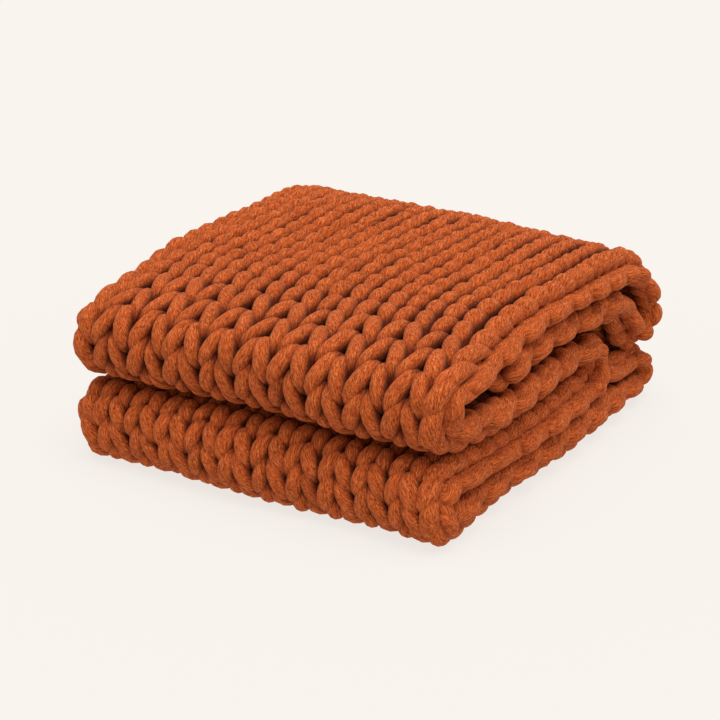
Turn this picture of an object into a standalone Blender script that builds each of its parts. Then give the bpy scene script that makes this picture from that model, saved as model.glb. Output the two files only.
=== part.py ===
"""A chunky knitted blanket, folded to and fro into a thick square stack.

The blanket is one strip of thick stockinette. Its knitted face, the side with the
V-shaped stitches, is the line that drives the shape: a short table gives that line
as it is seen from the stack's right end, with the cloth's thickness at each place.
The strip has two plump folds at the front, two curls at the back with a hollow in
each, and a third fold hidden inside. It lies flat on z = 0. The V stitches are
raised in the knitted face wherever it shows, and the loops along both edges bulge.
Axes: X runs across the stitch columns, Y from front to back, Z up. Units: metres.
"""

import math

import bmesh
import bpy
import numpy as np

MM = 0.001

# Sizes of the knitting.
WALE = 0.0408  # width of one column of V stitches
WALES = 10  # columns side by side
COURSE = 0.0294  # length of one row of stitches
EDGE_BULGE = 0.009  # how far the edge loops stand out beyond the last column
EDGE_DIP = 0.004  # how far the edge falls back between two loops

# Relief of the knitted face, as depths below the tops of the stitches.
LEG_JOIN_DEPTH = 0.0030  # where one leg of a V tucks under the next
V_GROOVE_DEPTH = 0.0055  # along the groove in the middle of a V
WALE_GROOVE_DEPTH = 0.0060  # along the groove between two columns
HOLE_DEPTH = 0.0085  # at the small hole between two columns
V_SLANT = 0.28 * COURSE  # how far a V's tip lies ahead of its middle

# How the stack lies: small, smooth departures from a true block.
LOFT = 1.033  # how much plumper the layers are than in the table
BACK_LIFT = 0.035  # share by which the back stands higher than the front
BACK_TILT = 0.034  # share by which the back is higher still at the left, lower at the right
EDGE_SAG = 0.020  # share by which the stack is lower along both edges
SWELL = 0.010  # share of slow rise and fall over the top
SWELL_TURNS = (31, 27)  # its radians per metre along X and Y
WANDER = 0.004  # sideways drift of the layers' edges
WANDER_TURNS = (19, 34)  # its radians per metre along Y and Z
NOSE_WAVE = 0.003  # how far the front and the back weave in and out
NOSE_TURNS = (23, 40)  # its radians per metre along X and Z
NOSE_REACH = 0.12  # how far from the middle of the stack the weaving sets in
BACK_REACH = 0.20  # where, behind the middle, the tilt of the back is full

NEUTRAL = 0.3  # share of the thickness, under the knitted face, where length is kept
LINE_STEPS = 24  # points worked out between two places of the table
PLAIN_COLUMNS = 7  # points across where no stitches are raised
EDGE_DEPTHS = (0.3, 0.7)  # shares of the thickness at which an edge's two points lie
TIGHT_TURN = math.radians(14)  # a hidden bend is split into steps no larger than this

# The knitted face from the stack's right end, from the tucked end at the back of the
# floor layer to the tucked end inside the top layers. Columns: y, z and the cloth's
# thickness in millimetres, and whether the stitches show there (1) or are hidden (0).
# Between a place of the one kind and one of the other the stitches fade.
KNIT_LINE = (
    # floor layer's end, tucked over it
    (134, 76, 27, 0),
    (146, 69, 28, 0),
    (170, 60, 25, 0),
    (207, 58, 24, 1),
    # lower curl at the back
    (229, 50, 24, 1),
    (238, 29, 24, 1),
    (229, 9, 25, 1),
    (207, 0, 26, 1),
    # floor layer
    (170, 0, 30, 0),
    (60, 0, 37, 0),
    (-60, 0, 37, 0),
    (-165, 0, 35, 0),
    # lower fold at the front
    (-204, 0, 31, 1),
    (-229, 12, 30, 1),
    (-238, 39, 30, 1),
    (-230, 66, 30, 1),
    (-206, 79, 31, 1),
    # second layer
    (-160, 78, 35, 0),
    (-80, 74, 34, 0),
    (40, 73, 33, 0),
    (86, 73, 33, 0),
    # hidden fold, with the knitted face inside
    (88.5, 74.5, 33, 0),
    (86, 76, 33, 0),
    # third layer
    (40, 76, 35, 0),
    (-80, 77, 35, 0),
    (-160, 82, 33, 0),
    # upper fold at the front
    (-204, 86, 30, 1),
    (-226, 99, 30, 1),
    (-238, 122, 30, 1),
    (-237, 146, 30, 1),
    (-221, 164, 30, 1),
    (-190, 172, 31, 1),
    # top layer
    (-135, 178, 33, 1),
    (-50, 184, 35, 1),
    (40, 187, 36, 1),
    (120, 185, 36, 1),
    (172, 175, 33, 1),
    # upper curl at the back
    (209, 155, 31, 1),
    (232, 125, 30, 1),
    (238, 97, 29, 1),
    (229, 74, 28, 1),
    (206, 64, 28, 0),
    # top layer's end, tucked back over the hidden fold
    (186, 65, 32, 0),
    (166, 75, 36, 0),
    (150, 92, 37, 0),
    (133, 107, 36, 0),
    (110, 114, 33, 0),
    (80, 115, 31, 0),
    (0, 114, 33, 0),
    (-90, 115, 30, 0),
    (-145, 117, 25, 0),
)


def clear_scene():
    """Remove the objects that a new file starts with."""
    for thing in list(bpy.data.objects):
        bpy.data.objects.remove(thing, do_unlink=True)


def smooth_through(places, steps):
    """A centripetal Catmull-Rom curve through the places, every column alike."""
    first = 2 * places[0] - places[1]
    last = 2 * places[-1] - places[-2]
    ends = np.vstack([first, places, last])
    found = [places[:1]]
    knots = np.linalg.norm(np.diff(ends[:, :2], axis=0), axis=1) ** 0.5
    t = np.linspace(0, 1, steps + 1)[1:, None]
    for k in range(len(places) - 1):
        before, start, stop, after = ends[k : k + 4]
        g0, g1, g2 = knots[k : k + 3]
        into = (start - before) / g0 - (stop - before) / (g0 + g1) + (stop - start) / g1
        out = (stop - start) / g1 - (after - start) / (g1 + g2) + (after - stop) / g2
        found.append(
            (2 * t**3 - 3 * t**2 + 1) * start
            + (t**3 - 2 * t**2 + t) * into * g1
            + (3 * t**2 - 2 * t**3) * stop
            + (t**3 - t**2) * out * g1
        )
    return np.vstack(found)


def knit_line():
    """The driving line, finely stepped, with its normals and the kept length along it."""
    table = np.array(KNIT_LINE, float)
    fine = smooth_through(table[:, :3] * MM * (1, LOFT, LOFT), LINE_STEPS)
    fine[:, 1] = np.maximum(fine[:, 1], 0)
    shown = np.interp(np.arange(len(fine)), np.arange(len(table)) * LINE_STEPS, table[:, 3])
    heading = np.gradient(fine[:, :2], axis=0)
    heading /= np.linalg.norm(heading, axis=1)[:, None]
    normal = np.column_stack([-heading[:, 1], heading[:, 0]])
    kept = fine[:, :2] - normal * (NEUTRAL * fine[:, 2])[:, None]
    length = np.concatenate([[0], np.cumsum(np.linalg.norm(np.diff(kept, axis=0), axis=1))])
    turn = np.unwrap(np.arctan2(heading[:, 1], heading[:, 0]))
    return dict(at=length, y=fine[:, 0], z=fine[:, 1], thick=fine[:, 2], turn=turn, shown=shown)


def read_line(line, at):
    """The line's place, heading, thickness and how far it shows, at a length along it."""
    found = {name: np.interp(at, line["at"], line[name]) for name in ("y", "z", "thick", "turn")}
    found["shown"] = float(np.interp(at, line["at"], line["shown"]))
    return found


def lay(x, y, z):
    """Move a point of the true block to where the soft stack really lies."""
    across = x / (WALES * WALE / 2)
    back = min(max(y / BACK_REACH, 0), 1)
    share = 1 + (BACK_LIFT - BACK_TILT * across) * back - EDGE_SAG * abs(across) ** 4
    share += SWELL * math.sin(x * SWELL_TURNS[0] + 1) * math.sin(y * SWELL_TURNS[1] + 2)
    weave = NOSE_WAVE * math.sin(x * NOSE_TURNS[0] + z * NOSE_TURNS[1] + 1)
    return (
        x + WANDER * math.sin(y * WANDER_TURNS[0] + z * WANDER_TURNS[1]),
        y + weave * math.tanh(y / NOSE_REACH),
        z * share,
    )


def relief(column, row):
    """Depth of the knitted face under the stitches' tops, at a point of the stitch grid."""
    at_join = row % 2 == 1
    if column % 2 == 1:
        return LEG_JOIN_DEPTH if at_join else 0
    if column % 4 == 2:
        return V_GROOVE_DEPTH
    return HOLE_DEPTH if at_join else WALE_GROOVE_DEPTH


def slant(column):
    """How far a stitch's point is shifted along the strip, to make the V."""
    return (V_SLANT, 0, -V_SLANT, 0)[column % 4]


def face_row(line, at, row, shown):
    """Points across the knitted face at one step along the strip.

    The relief is as strong as the face is in view, and is left out where it is hidden.
    """
    half = WALES * WALE / 2
    if shown == 0:
        here = read_line(line, at)
        return [(x, here["y"], here["z"]) for x in np.linspace(-half, half, PLAIN_COLUMNS)]
    points = []
    for column in range(4 * WALES + 1):
        here = read_line(line, at + slant(column) * shown)
        down = relief(column, row) * shown
        y = here["y"] + math.sin(here["turn"]) * down
        z = here["z"] - math.cos(here["turn"]) * down
        points.append((column * WALE / 4 - half, y, max(z, 0)))
    return points


def side_points(line, at, row, side):
    """Two points that round an edge of the strip off, bulging at each loop."""
    here = read_line(line, at)
    out = WALES * WALE / 2 + EDGE_BULGE - (EDGE_DIP if row % 2 else 0)
    points = []
    for depth in EDGE_DEPTHS:
        down = depth * here["thick"]
        y = here["y"] + math.sin(here["turn"]) * down
        z = here["z"] - math.cos(here["turn"]) * down
        points.append((side * out, y, z))
    return points


def inner_row(line, at):
    """Points across the back face of the cloth."""
    here = read_line(line, at)
    half = WALES * WALE / 2
    y = here["y"] + math.sin(here["turn"]) * here["thick"]
    z = here["z"] - math.cos(here["turn"]) * here["thick"]
    return [(x, y, z) for x in np.linspace(-half, half, PLAIN_COLUMNS)]


def steps_along(line):
    """Where the rings stand: every half stitch row, and closer round hidden tight bends."""
    half_row = COURSE / 2
    count = int(line["at"][-1] / half_row)
    spare = (line["at"][-1] - count * half_row) / 2
    steps = [(spare + k * half_row, k) for k in range(count + 1)]
    found = [steps[0]]
    for (start, row), (stop, next_row) in zip(steps, steps[1:]):
        a, b = read_line(line, start), read_line(line, stop)
        parts = 1
        if a["shown"] == 0 and b["shown"] == 0:
            parts = max(1, math.ceil(abs(b["turn"] - a["turn"]) / TIGHT_TURN))
        found += [(start + (stop - start) * k / parts, row) for k in range(1, parts)]
        found.append((stop, next_row))
    return found


def link_stitches(mesh, first, second):
    """Fill the band between two rows of the stitch grid, with creases along the legs."""
    for k in range(len(first) - 1):
        a, b, c, d = first[k], first[k + 1], second[k + 1], second[k]
        leans_left = k % 4 < 2
        pair = ((a, b, d), (b, c, d)) if leans_left else ((a, b, c), (a, c, d))
        for corners in pair:
            mesh.faces.new(corners)


def link(mesh, first, second):
    """Fill the band between two rows of points, which may differ in number."""
    if len(first) == len(second) == 4 * WALES + 1:
        link_stitches(mesh, first, second)
        return
    if len(first) == len(second):
        for k in range(len(first) - 1):
            mesh.faces.new((first[k], first[k + 1], second[k + 1], second[k]))
        return
    i = j = 0
    while i < len(first) - 1 or j < len(second) - 1:
        next_first = (i + 1) / (len(first) - 1)
        next_second = (j + 1) / (len(second) - 1)
        if j == len(second) - 1 or (i < len(first) - 1 and next_first <= next_second):
            mesh.faces.new((first[i], first[i + 1], second[j]))
            i += 1
        else:
            mesh.faces.new((first[i], second[j + 1], second[j]))
            j += 1


def ring_rows(mesh, line, at, row):
    """The four rows of one ring: knitted face, right edge, back face and left edge."""
    shown = read_line(line, at)["shown"]
    face = [mesh.verts.new(lay(*p)) for p in face_row(line, at, row, shown)]
    right = [mesh.verts.new(lay(*p)) for p in side_points(line, at, row, 1)]
    inner = [mesh.verts.new(lay(*p)) for p in inner_row(line, at)]
    left = [mesh.verts.new(lay(*p)) for p in side_points(line, at, row, -1)]
    return (
        face,
        [face[-1], *right, inner[-1]],
        inner[::-1],
        [inner[0], *left[::-1], face[0]],
    )


def cap(mesh, rows):
    """Close an end of the strip between its knitted face and its back face."""
    face, right, inner, left = rows
    link(mesh, face, inner[::-1])
    mesh.faces.new(right)
    mesh.faces.new(left)


def centre_on_origin(mesh):
    """Shift the strip sideways so that the middle of its box stands over the origin."""
    places = np.array([v.co for v in mesh.verts])
    middle = (places.min(axis=0) + places.max(axis=0)) / 2
    bmesh.ops.translate(mesh, verts=mesh.verts[:], vec=(-middle[0], -middle[1], 0))


def build_blanket():
    """The whole strip as one closed mesh."""
    line = knit_line()
    mesh = bmesh.new()
    rings = [ring_rows(mesh, line, at, row) for at, row in steps_along(line)]
    for before, after in zip(rings, rings[1:]):
        for first, second in zip(before, after):
            link(mesh, first, second)
    cap(mesh, rings[0])
    cap(mesh, rings[-1])
    centre_on_origin(mesh)
    bmesh.ops.recalc_face_normals(mesh, faces=mesh.faces[:])
    data = bpy.data.meshes.new("blanket")
    mesh.to_mesh(data)
    mesh.free()
    blanket = bpy.data.objects.new("blanket", data)
    bpy.context.scene.collection.objects.link(blanket)
    return blanket


def rust_yarn():
    """Matt burnt-orange yarn."""
    material = bpy.data.materials.new("rust_yarn")
    material.use_nodes = True
    shader = material.node_tree.nodes["Principled BSDF"]
    shader.inputs["Base Color"].default_value = (0.47, 0.12, 0.045, 1)
    shader.inputs["Roughness"].default_value = 0.9
    shader.inputs["Metallic"].default_value = 0
    return material


clear_scene()
build_blanket().data.materials.append(rust_yarn())
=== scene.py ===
"""A chunky knitted blanket, folded into a thick stack on a pale floor.

The blanket is knitted from one yarn. The yarn runs to and fro in rows of loops, and each
row's loops come up through the row before. The rows are laid on the line that the knitted
face follows through the stack, given in a short table. It is close to the table of the
solid that the knitting stands for, but here the front folds are up to 6 mm thicker on
their inner side, and the two curls at the back lie about 5 mm nearer to each other.
Axes: X runs across the columns of stitches, Y from front to back, Z up. Units: metres.
"""

import math

import bpy
import numpy as np
from mathutils import Matrix, Vector

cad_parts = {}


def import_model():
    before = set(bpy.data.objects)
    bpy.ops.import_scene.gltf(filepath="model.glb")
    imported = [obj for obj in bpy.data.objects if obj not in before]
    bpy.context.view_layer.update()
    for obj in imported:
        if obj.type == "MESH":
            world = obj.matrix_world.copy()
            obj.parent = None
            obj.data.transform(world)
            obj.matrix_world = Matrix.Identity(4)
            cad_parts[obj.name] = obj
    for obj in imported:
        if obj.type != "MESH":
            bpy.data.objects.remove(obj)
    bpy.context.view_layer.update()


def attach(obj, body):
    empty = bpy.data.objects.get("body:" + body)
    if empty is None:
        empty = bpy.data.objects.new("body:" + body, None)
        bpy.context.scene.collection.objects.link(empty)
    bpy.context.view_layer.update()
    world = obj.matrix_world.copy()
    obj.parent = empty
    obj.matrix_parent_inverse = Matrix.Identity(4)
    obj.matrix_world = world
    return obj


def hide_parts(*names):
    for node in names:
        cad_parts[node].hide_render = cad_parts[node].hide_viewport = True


MM = 0.001
TURN = 2 * math.pi

# Sizes of the knitting.
WIDTH = 0.408  # across the columns of V stitches
LOWER_WALES = 11  # columns in the floor layer and the lower fold
UPPER_WALES = 10  # columns from the hidden fold on, and so in the upper fold and the top
YARN_RADIUS = 0.0087
TWIST_LENGTH = 0.110  # of yarn for one turn of its fibres round it

# Shape of one loop of yarn, in a tight row of stitches and in a stretched one.
STRETCH = (0.70, 0.92)  # length of such a row, in widths of a column
LOOP_REACH = (0.95, 1.14)  # from the middle of a loop's legs up to its head, in rows
LEG_LEAN = (0.10, 0.24)  # how far the legs lean out, in widths of a column
LEG_FLATNESS = (0.1, 0.35)  # how much longer than in a plain wave the legs stay in front
LEG_SWELL = (0.15, 0.14)  # share by which the yarn is plumper at the legs, thinner between
YARN_STRETCH = (1.01, 0.91)  # share of its thickness that the yarn keeps
LAST_LEGS = 1 / 4  # how far in from the edge the last legs stand, in widths of a column
EDGE_TUCK = 0.4  # share of its width that the cloth keeps outside the last legs
EDGE_RISE = 0.55  # how far the yarn comes forward at the edge, on the scale of the loops
EDGE_TURN = 0.004  # how far it swings out between two rows there
EDGE_CURL = 0.003  # how far the last legs are drawn back from the knitted face
EDGE_WIDTH = 0.02  # from the edge to where that sets in
EDGE_SWELL = 0.16  # share by which the yarn is plumper still in the last legs
EDGE_LEG = (0.006, 0.016, 0.034)  # from the edge to where that starts, is full and ends

# Painted shade: the wool's colour is made darker down in the creases, where shade falls.
PAINTED_SHADE_DEPTH = (0.0010, 0.0085)  # from and to this depth under the knitted face
PAINTED_CREASE_SHADE = (0.24, 0.13, 0.07)  # share of its red, green and blue that is left there
PAINTED_SHADE_INSET = 0.018  # where it is half as dark, in from the edges, which get more light

# How uneven hand knitting is, as the usual size of a departure.
UNEVEN_SEED = 5
UNEVEN_PLACE = (0.0009, 0.035, 0.0006)  # across, along in rows, and in depth
UNEVEN_RADIUS = 0.03  # share of the yarn's radius

# How the stack lies: small, smooth departures from a true block.
LOFT = 1.033  # how much plumper the layers are than in the table
BACK_LIFT = 0.035  # share by which the back stands higher than the front
BACK_TILT = 0.034  # share by which the back is higher still at the left, lower at the right
EDGE_SAG = 0.020  # share by which the stack is lower along both edges
EDGE_SAG_POWER = 4  # the higher, the closer to the edges the sag stays
SWELL = 0.010  # share of slow rise and fall over the top
SWELL_TURNS = (31, 27)  # its radians per metre along X and Y
SWELL_START = (1, 2)  # its radians in the middle of the stack, along X and Y
WANDER = 0.004  # sideways drift of the layers
WANDER_TURNS = (19, 34)  # its radians per metre along Y and Z
NOSE_WAVE = 0.003  # how far the front and the back weave in and out
NOSE_TURNS = (23, 40)  # its radians per metre along X and Z
NOSE_START = 1  # its radians in the middle of the stack, on the floor
NOSE_REACH = 0.12  # how far from the middle of the stack the weaving sets in
BACK_REACH = 0.20  # where, behind the middle, the lift of the back is full
COLUMN_DRIFT = (0.004, -0.009)  # sideways shift of the middle columns, front and top
DRIFT_REACH = (-0.20, -0.08)  # where, along Y, the drift changes from the one to the other
DRIFT_POWER = 6  # the higher, the nearer to the edges the drift is full

HIDDEN_FOLD = 22  # the place of the table at the hidden fold
LINE_STEPS = 24  # points worked out between two places of the table

LOOP_STEPS = 32  # points along the yarn for one stitch
TURN_STEPS = 8  # points along the yarn where it turns into the next row
KNOT_STEPS = LOOP_STEPS // 4  # points along the yarn from one random departure to the next
YARN_START = LOOP_STEPS // 2  # points left out, so that the yarn starts behind a stitch
TIP = 0.1  # share of its radius by which a rounded end falls short of a full tip
SIDES = 12  # points round the yarn
PIECES = 5  # the knitting is made in this many lengths of yarn, end to end

# The line of the knitted face, seen from the stack's right. It runs from the tucked end
# at the back of the floor layer to the tucked end inside the top layers. Columns: y, z,
# the cloth's thickness and the length of a row of stitches there, in millimetres.
KNIT_LINE = (
    # floor layer's end, tucked over it
    (134, 76, 27, 27),
    (146, 69, 28, 27),
    (170, 61, 25, 27),
    (207, 60, 24, 27),
    # lower curl at the back
    (229, 50, 24, 27),
    (238, 29, 24, 28),
    (229, 9, 25, 27),
    (207, 0, 28, 27),
    # floor layer
    (170, 0, 32, 26),
    (60, 0, 37, 26),
    (-60, 0, 37, 26),
    (-165, 0, 38, 27),
    # lower fold at the front
    (-204, 0, 37, 31),
    (-229, 12, 35, 34),
    (-238, 39, 34, 34),
    (-230, 66, 35, 32),
    (-206, 79, 37, 30),
    # second layer
    (-160, 78, 37, 27),
    (-80, 74, 34, 26),
    (40, 73, 33, 26),
    (80, 73, 33, 26),
    (86, 73, 33, 3),
    # hidden fold, with the knitted face inside
    (88.5, 74.5, 33, 0.8),
    (86, 76, 33, 3),
    # third layer
    (80, 76, 33, 26),
    (40, 76, 35, 26),
    (-80, 77, 35, 26),
    (-160, 82, 36, 28),
    # upper fold at the front
    (-204, 86, 36, 36),
    (-226, 99, 36, 39),
    (-238, 122, 36, 40),
    (-237, 146, 36, 41),
    (-221, 164, 36, 43),
    (-190, 172, 37, 41),
    # top layer
    (-135, 178, 37, 33),
    (-50, 184, 37, 26),
    (40, 187, 37, 21),
    (120, 185, 36, 20),
    (172, 175, 33, 20),
    # upper curl at the back
    (209, 155, 31, 22),
    (232, 125, 30, 24),
    (238, 97, 29, 24),
    (229, 74, 28, 24),
    (206, 61, 28, 24),
    # top layer's end, tucked back over the hidden fold
    (184, 62, 32, 26),
    (166, 75, 36, 26),
    (150, 92, 37, 26),
    (133, 107, 36, 26),
    (110, 114, 33, 26),
    (80, 115, 31, 26),
    (0, 114, 33, 26),
    (-90, 115, 31, 27),
    (-145, 117, 26, 27),
)

# The wool. Each noise: its size across and along the yarn, its detail, and a shift that
# sets it apart from the others.
STREAKS = (1.2 * MM, 5 * MM, 3.0, 0)
FLECKS = (0.8 * MM, 2.8 * MM, 1.0, 40)
TONE = (22 * MM, 60 * MM, 2.0, 90)
NOISE_ROUGHNESS = 0.6
WOOL_COLOURS = (  # place among the streaks, and colour there
    (0.30, (0.235, 0.030, 0.004)),
    (0.50, (0.445, 0.077, 0.013)),
    (0.75, (0.680, 0.190, 0.054)),
)
FLECK_SHARES = (  # place among the flecks, and how much of their colour shows there
    (0.54, (0, 0, 0)),
    (0.64, (0.85, 0.85, 0.85)),
)
FLECK_COLOUR = (0.11, 0.024, 0.004)
FLECK_DENT = 0.3  # how deep a fleck lies, as a share of the streaks' height
TONE_RANGE = (0.35, 0.83)  # by how much the brightness varies, and its lowest value
BUMP_STRENGTH = 0.6
BUMP_HEIGHT = 1.2 * MM
WOOL_FINISH = {
    "Roughness": 0.88,
    "Specular IOR Level": 0.12,
    "Sheen Weight": 0.10,
    "Sheen Roughness": 0.55,
    "Sheen Tint": (1.0, 0.50, 0.25, 1),
}

# The floor, which glows by itself, as the photo's ground is lit up to near white.
FLOOR_HALF = 12
FLOOR_DROP = 0.0004  # under the blanket
FLOOR_FINISH = {
    "Base Color": (0.10, 0.095, 0.09, 1),
    "Emission Color": (1.0, 0.955, 0.905, 1),
    "Emission Strength": 0.795,
    "Roughness": 0.9,
    "Specular IOR Level": 0.0,
}

# The light.
SKY_COLOUR = (1.0, 0.985, 0.965, 1)
SKY_STRENGTH = 0.78
KEY_STRENGTH = 2.5
KEY_SPREAD = 50  # degrees
KEY_AZIMUTH = 130  # degrees from +Y to +X
KEY_ELEVATION = 76  # degrees

# The camera, fitted to the blanket's outline in the photograph.
CAMERA_AZIMUTH = math.radians(31.76)
CAMERA_ELEVATION = math.radians(21.31)
CAMERA_DISTANCE = 2.0184
CAMERA_AIM = (-0.0190, 0.0052, 0.0710)  # to the camera's right, along Y, and up
CAMERA_LENS_MM = 97.8
SENSOR_MM = 36


def smooth_through(places, steps):
    """A centripetal Catmull-Rom curve through the places, every column alike."""
    first = 2 * places[0] - places[1]
    last = 2 * places[-1] - places[-2]
    ends = np.vstack([first, places, last])
    found = [places[:1]]
    knots = np.linalg.norm(np.diff(ends[:, :2], axis=0), axis=1) ** 0.5
    t = np.linspace(0, 1, steps + 1)[1:, None]
    for k in range(len(places) - 1):
        before, start, stop, after = ends[k : k + 4]
        g0, g1, g2 = knots[k : k + 3]
        into = (start - before) / g0 - (stop - before) / (g0 + g1) + (stop - start) / g1
        out = (stop - start) / g1 - (after - start) / (g1 + g2) + (after - stop) / g2
        found.append(
            (2 * t**3 - 3 * t**2 + 1) * start
            + (t**3 - 2 * t**2 + t) * into * g1
            + (3 * t**2 - 2 * t**3) * stop
            + (t**3 - t**2) * out * g1
        )
    return np.vstack(found)


def knit_line():
    """The line of the knitted face, finely stepped, and how many rows lie before a place."""
    table = np.array(KNIT_LINE, float) * MM * (1, LOFT, LOFT, 1)
    fine = smooth_through(table, LINE_STEPS)
    fine[:, 1] = np.maximum(fine[:, 1], 0)
    turn = np.unwrap(np.arctan2(*np.gradient(fine[:, :2], axis=0).T[::-1]))
    steps = np.linalg.norm(np.diff(fine[:, :2], axis=0), axis=1)
    rows = np.concatenate([[0], np.cumsum(steps * 2 / (fine[1:, 3] + fine[:-1, 3]))])
    y, z, thick, length = fine.T
    lower = np.arange(len(fine)) < HIDDEN_FOLD * LINE_STEPS
    stretch = length * np.where(lower, LOWER_WALES, UPPER_WALES) / WIDTH
    return dict(row=rows, y=y, z=z, thick=thick, stretch=stretch, turn=turn)


def lay(places):
    """Move points of the true block to where the soft stack really lies."""
    x, y, z = places.T
    across = x / (WIDTH / 2)
    back = np.clip(y / BACK_REACH, 0, 1)
    sag = EDGE_SAG * np.abs(across) ** EDGE_SAG_POWER
    share = 1 + (BACK_LIFT - BACK_TILT * across) * back - sag
    rise = np.sin(x * SWELL_TURNS[0] + SWELL_START[0])
    share += SWELL * rise * np.sin(y * SWELL_TURNS[1] + SWELL_START[1])
    weave = NOSE_WAVE * np.sin(x * NOSE_TURNS[0] + z * NOSE_TURNS[1] + NOSE_START)
    middle = np.clip(1 - across**DRIFT_POWER, 0, 1)
    drift = np.interp(y, DRIFT_REACH, COLUMN_DRIFT) * middle
    return np.column_stack([
        x + drift + WANDER * np.sin(y * WANDER_TURNS[0] + z * WANDER_TURNS[1]),
        y + weave * np.tanh(y / NOSE_REACH),
        z * share,
    ])


def on_strip(line, across, row, down):
    """Points of the flat strip, with their depth under the knitted face, in the stack."""
    y, z, turn = (np.interp(row, line["row"], line[name]) for name in ("y", "z", "turn"))
    return lay(np.column_stack([across, y + np.sin(turn) * down, z - np.cos(turn) * down]))


def by_row(line, row, pair):
    """A size that is the pair's first in tight rows and its second in stretched ones."""
    return np.interp(np.interp(row, line["row"], line["stretch"]), STRETCH, pair)


def row_of_loops(line, middle, wales, leftwards):
    """One row's yarn: across, along and how far it swings from back (-1) to front (1).

    Half a loop more lies at each end, where the edge of the cloth curls back.
    """
    wale = WIDTH / wales
    steps = np.arange((wales + 1) * LOOP_STEPS + 1) / LOOP_STEPS - 0.5
    phase = TURN * (steps - 0.5)
    across = (steps + by_row(line, middle, LEG_LEAN) * np.sin(2 * phase)) * wale - WIDTH / 2
    row = middle + by_row(line, middle, LOOP_REACH) * np.cos(phase)
    wave = -np.cos(2 * phase)
    front = wave * (1 + by_row(line, middle, LEG_FLATNESS) * (1 - wave**2))
    curled = 2 * np.clip(np.abs(steps - wales / 2) - wales / 2, 0, 0.5)
    front = np.where(curled > 0, EDGE_RISE * curled**2 * (3 - 2 * curled) - 1, front)
    beyond = np.maximum(np.abs(across) - (WIDTH / 2 - wale * LAST_LEGS), 0)
    across -= np.sign(across) * beyond * (1 - EDGE_TUCK)
    found = np.column_stack([across, row, front])
    return found[::-1] if leftwards else found


def edge_turn(last, first, side):
    """The yarn's way round the edge, from the end of one row to the start of the next."""
    half_turn = np.arange(1, TURN_STEPS) * math.pi / TURN_STEPS
    found = last + (first - last) * (1 - np.cos(half_turn))[:, None] / 2
    found[:, 0] += side * EDGE_TURN * np.sin(half_turn)
    return found


def yarn_rows(line):
    """The rows of the whole strip, each with the turn that leads into the next.

    The yarn ends half a loop in from the cloth's edges. knit() starts it further in still.
    """
    count = int(line["row"][-1])
    spare = (line["row"][-1] - count) / 2
    hidden_fold = line["row"][HIDDEN_FOLD * LINE_STEPS]
    rows = []
    for k in range(1, count):
        wales = LOWER_WALES if spare + k < hidden_fold else UPPER_WALES
        rows.append(row_of_loops(line, spare + k, wales, k % 2 == 0))
    rows[0] = rows[0][LOOP_STEPS // 2 :]
    rows[-1] = rows[-1][: -LOOP_STEPS // 2]
    for k in range(len(rows) - 1):
        side = 1 if k % 2 == 0 else -1
        rows[k] = np.vstack([rows[k], edge_turn(rows[k][-1], rows[k + 1][0], side)])
    return rows


def unevenness(count, random):
    """Smooth noise of unit size along the yarn, with four independent columns."""
    knots = random.normal(size=(count // KNOT_STEPS + 3, 4))
    at = np.arange(count) / KNOT_STEPS
    whole = at.astype(int)
    share = (at - whole)[:, None]
    ease = share * share * (3 - 2 * share)
    return knots[whole] * (1 - ease) + knots[whole + 1] * ease


def yarn_centre(line, path, noise):
    """The yarn's centre line in the stack, the way out of the cloth and the yarn's radius.

    Then its depth under the knitted face, and 1 where it lies well within the edges, where the
    painted crease shade is full.
    """
    across, row, front = path.T
    thick = np.interp(row, line["row"], line["thick"])
    down = thick / 2 - (thick / 2 - YARN_RADIUS) * front
    edge = np.clip(1 - (WIDTH / 2 - np.abs(across)) / EDGE_WIDTH, 0, 1)
    down += EDGE_CURL * edge**2 * (1 + front) / 2
    across = across + noise[:, 0] * UNEVEN_PLACE[0]
    row = row + noise[:, 1] * UNEVEN_PLACE[1]
    down = down + noise[:, 2] * UNEVEN_PLACE[2]
    centre = on_strip(line, across, row, down)
    outside = on_strip(line, across, row, down - MM)
    last = np.interp(WIDTH / 2 - np.abs(across), EDGE_LEG, (0, EDGE_SWELL, 0))
    swell = (by_row(line, row, LEG_SWELL) + last) * (2 * front**2 - 1)
    plump = 1 + swell + UNEVEN_RADIUS * noise[:, 3]
    radius = YARN_RADIUS * by_row(line, row, YARN_STRETCH) * plump
    inner = np.clip((WIDTH / 2 - np.abs(across)) / PAINTED_SHADE_INSET - 0.5, 0, 1)
    return centre, outside - centre, radius, down, inner


def tube(centre, out, radius, down, inner):
    """Rings of points round the yarn, the same on a straight yarn, and how deep they lie,
    which sets the painted shade in the creases.

    Both ends of the yarn are rounded.
    """
    steps = np.linalg.norm(np.diff(centre, axis=0), axis=1)
    run = np.concatenate([[0], np.cumsum(steps)])
    to_end = np.minimum(run - run[YARN_START], run[-1] - run) / YARN_RADIUS
    radius = radius * np.sqrt(1 - (1 - np.clip(to_end, TIP, 1)) ** 2)
    tangent = np.gradient(centre, axis=0)
    tangent /= np.linalg.norm(tangent, axis=1)[:, None]
    side = np.cross(tangent, out)
    side /= np.linalg.norm(side, axis=1)[:, None]
    up = np.cross(side, tangent)
    angle = np.arange(SIDES) * TURN / SIDES
    rise, swing = np.cos(angle)[None, :, None], np.sin(angle)[None, :, None]
    ring = rise * up[:, None] + swing * side[:, None]
    rings = centre[:, None] + ring * radius[:, None, None]
    rings[:, :, 2] = np.maximum(rings[:, :, 2], 0)
    wound = angle + run[:, None] * TURN / TWIST_LENGTH
    straight = np.empty(rings.shape)
    straight[:, :, 0] = np.cos(wound) * YARN_RADIUS
    straight[:, :, 1] = np.sin(wound) * YARN_RADIUS
    straight[:, :, 2] = run[:, None]
    # Painted shade: how deep each point lies under the knitted face, which darkens its colour;
    # none near the edges.
    depth = (down[:, None] - radius[:, None] * np.cos(angle)) * inner[:, None]
    return rings, straight, depth


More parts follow.
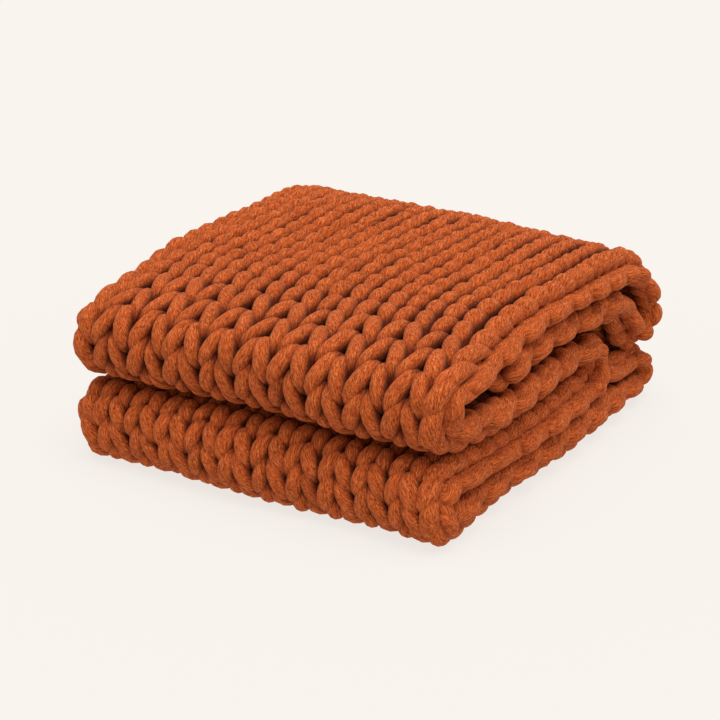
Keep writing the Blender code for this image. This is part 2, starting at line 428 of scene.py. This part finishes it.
def yarn_mesh(name, rings, straight, depth):
    """A closed mesh through the rings, with the straight yarn and the depth for the painted
    crease shade as attributes.
    """
    count = len(rings)
    a = np.arange(count - 1)[:, None] * SIDES + np.arange(SIDES)
    b = np.arange(count - 1)[:, None] * SIDES + (np.arange(SIDES) + 1) % SIDES
    quads = np.stack([a, b, b + SIDES, a + SIDES], axis=-1).reshape(-1, 4)
    first = list(range(SIDES))[::-1]
    last = list(range((count - 1) * SIDES, count * SIDES))
    mesh = bpy.data.meshes.new(name)
    mesh.from_pydata(rings.reshape(-1, 3).tolist(), [], quads.tolist() + [first, last])
    mesh.polygons.foreach_set("use_smooth", [True] * len(mesh.polygons))
    place = mesh.attributes.new("yarn_place", "FLOAT_VECTOR", "POINT")
    place.data.foreach_set("vector", straight.reshape(-1).astype(np.float32))
    shade = mesh.attributes.new("yarn_painted_shade_depth", "FLOAT", "POINT")
    shade.data.foreach_set("value", depth.reshape(-1).astype(np.float32))
    mesh.update()
    piece = bpy.data.objects.new(name, mesh)
    bpy.context.scene.collection.objects.link(piece)
    return piece


def knit(material):
    """The whole blanket, as a few lengths of one yarn."""
    line = knit_line()
    rows = yarn_rows(line)
    lengths = [len(row) for row in rows]
    starts = np.concatenate([[0], np.cumsum(lengths)])
    path = np.vstack(rows)
    noise = unevenness(len(path), np.random.default_rng(UNEVEN_SEED))
    rings, straight, depth = tube(*yarn_centre(line, path, noise))
    cuts = [starts[round(k * len(rows) / PIECES)] for k in range(PIECES + 1)]
    cuts[0] = YARN_START
    pieces = []
    for k in range(PIECES):
        span = slice(cuts[k], min(cuts[k + 1] + 1, len(path)))
        own = straight[span].copy()
        own[:, :, 2] -= own[0, 0, 2]
        piece = yarn_mesh(f"knitting_{k + 1}", rings[span], own, depth[span])
        piece.data.materials.append(material)
        pieces.append(piece)
    return pieces


class Nodes:
    """A short way to write a material's nodes and links."""

    def __init__(self, name):
        self.material = bpy.data.materials.new(name)
        self.material.use_nodes = True
        self.tree = self.material.node_tree
        self.shader = self.tree.nodes["Principled BSDF"]

    def add(self, kind, settings=(), **inputs):
        """A node with its settings, and its inputs, each a value or a socket.

        An input is given by its name, or as i and its number.
        """
        node = self.tree.nodes.new("ShaderNode" + kind)
        for name, value in dict(settings).items():
            setattr(node, name, value)
        for name, value in inputs.items():
            numbered = name[1:].isdigit()
            socket = node.inputs[int(name[1:]) if numbered else name.replace("_", " ")]
            if isinstance(value, bpy.types.NodeSocket):
                self.tree.links.new(value, socket)
            else:
                socket.default_value = value
        return node

    def math(self, operation, a, b=0.0, c=0.0):
        """One sum of two or three values."""
        return self.add("Math", {"operation": operation}, i0=a, i1=b, i2=c).outputs[0]

    def ramp(self, factor, stops):
        """A colour ramp with stops of place and colour."""
        node = self.add("ValToRGB", i0=factor)
        band = node.color_ramp
        while len(band.elements) < len(stops):
            band.elements.new(0.5)
        for element, (place, colour) in zip(band.elements, stops):
            element.position = place
            element.color = (*colour, 1)
        return node.outputs[0]

    def link(self, output, name):
        """Feed one of the shader's inputs."""
        self.tree.links.new(output, self.shader.inputs[name])

    def finish(self, values):
        """Set the shader's inputs to plain values, by name."""
        for name, value in values.items():
            self.shader.inputs[name].default_value = value


def yarn_material():
    """Rust-orange heathered wool: streaks along the fibres, dark flecks, a soft bloom, and
    painted shade in the creases.
    """
    nodes = Nodes("rust_yarn")
    place = nodes.add("Attribute", {"attribute_name": "yarn_place"}).outputs["Vector"]

    def fibre_noise(width, length, detail, shift):
        """Noise that is drawn out along the yarn."""
        scale = (1 / width, 1 / width, 1 / length)
        moved = nodes.add("Mapping", i0=place, Scale=scale, Location=(shift, 0, 0))
        return nodes.add(
            "TexNoise", Vector=moved.outputs[0], Scale=1.0, Detail=detail,
            Roughness=NOISE_ROUGHNESS,
        ).outputs[0]

    streaks = fibre_noise(*STREAKS)
    flecks = fibre_noise(*FLECKS)
    tone = fibre_noise(*TONE)
    colour = nodes.ramp(streaks, WOOL_COLOURS)
    toned = nodes.add(
        "HueSaturation", Color=colour,
        Value=nodes.math("MULTIPLY_ADD", tone, *TONE_RANGE),
    )
    # Painted shade: the colour is multiplied darker the deeper the yarn lies in the creases.
    depth = nodes.add("Attribute", {"attribute_name": "yarn_painted_shade_depth"}).outputs["Fac"]
    painted_shade_share = nodes.add(
        "MapRange", {"interpolation_type": "SMOOTHSTEP"},
        Value=depth, From_Min=PAINTED_SHADE_DEPTH[0], From_Max=PAINTED_SHADE_DEPTH[1],
    ).outputs[0]
    fleck_share = nodes.ramp(flecks, FLECK_SHARES)
    mixed = nodes.add(
        "Mix", {"data_type": "RGBA"},
        i0=fleck_share, i6=toned.outputs[0], i7=(*FLECK_COLOUR, 1),
    )
    with_painted_shade = nodes.add(
        "Mix", {"data_type": "RGBA", "blend_type": "MULTIPLY"},
        i0=painted_shade_share, i6=mixed.outputs[2], i7=(*PAINTED_CREASE_SHADE, 1),
    )
    nodes.link(with_painted_shade.outputs[2], "Base Color")
    dents = nodes.math("MULTIPLY", fleck_share, FLECK_DENT)
    height = nodes.math("SUBTRACT", streaks, dents)
    bump = nodes.add("Bump", Strength=BUMP_STRENGTH, Distance=BUMP_HEIGHT, Height=height)
    nodes.link(bump.outputs[0], "Normal")
    nodes.finish(WOOL_FINISH)
    return nodes.material


def make_floor():
    """A wide, plain, pale floor."""
    mesh = bpy.data.meshes.new("floor")
    signs = ((-1, -1), (1, -1), (1, 1), (-1, 1))
    corners = [(x * FLOOR_HALF, y * FLOOR_HALF, 0) for x, y in signs]
    mesh.from_pydata(corners, [], [(0, 1, 2, 3)])
    floor = bpy.data.objects.new("floor", mesh)
    floor.location.z = -FLOOR_DROP
    bpy.context.scene.collection.objects.link(floor)
    nodes = Nodes("floor_cream")
    nodes.finish(FLOOR_FINISH)
    mesh.materials.append(nodes.material)


def add_sun(name, strength, spread, azimuth, elevation):
    """A distant soft light that comes from an azimuth, counted from +Y to +X, in degrees."""
    light = bpy.data.lights.new(name, "SUN")
    light.energy = strength
    light.angle = math.radians(spread)
    a, e = math.radians(azimuth), math.radians(elevation)
    towards = Vector((math.sin(a) * math.cos(e), math.cos(a) * math.cos(e), math.sin(e)))
    lamp = bpy.data.objects.new(name, light)
    lamp.rotation_euler = towards.to_track_quat("Z", "Y").to_euler()
    bpy.context.scene.collection.objects.link(lamp)


def light_scene():
    """A bright studio: pale light all round, and a soft light from high at the front right."""
    scene = bpy.context.scene
    world = bpy.data.worlds.new("studio")
    world.use_nodes = True
    background = world.node_tree.nodes["Background"]
    background.inputs["Color"].default_value = SKY_COLOUR
    background.inputs["Strength"].default_value = SKY_STRENGTH
    scene.world = world
    add_sun("key", KEY_STRENGTH, KEY_SPREAD, KEY_AZIMUTH, KEY_ELEVATION)
    scene.view_settings.view_transform = "Standard"
    scene.view_settings.look = "None"


def place_camera():
    """The camera, looking as the photograph does."""
    camera = bpy.data.cameras.new("camera")
    camera.lens = CAMERA_LENS_MM
    camera.sensor_width = SENSOR_MM
    camera.sensor_fit = "HORIZONTAL"
    a, e = CAMERA_AZIMUTH, CAMERA_ELEVATION
    right = Vector((math.cos(a), math.sin(a), 0))
    forward = Vector((-math.sin(a) * math.cos(e), math.cos(a) * math.cos(e), -math.sin(e)))
    aim = right * CAMERA_AIM[0] + Vector((0, *CAMERA_AIM[1:]))
    turn = Matrix((right, right.cross(forward), -forward)).transposed()
    viewer = bpy.data.objects.new("camera", camera)
    viewer.matrix_world = Matrix.Translation(aim - forward * CAMERA_DISTANCE) @ turn.to_4x4()
    bpy.context.scene.collection.objects.link(viewer)
    bpy.context.scene.camera = viewer


def main():
    """Build the scene, and tie the knitting to the solid."""
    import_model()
    place_camera()
    make_floor()
    light_scene()
    for piece in knit(yarn_material()):
        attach(piece, "root")
        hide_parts("blanket")


main()
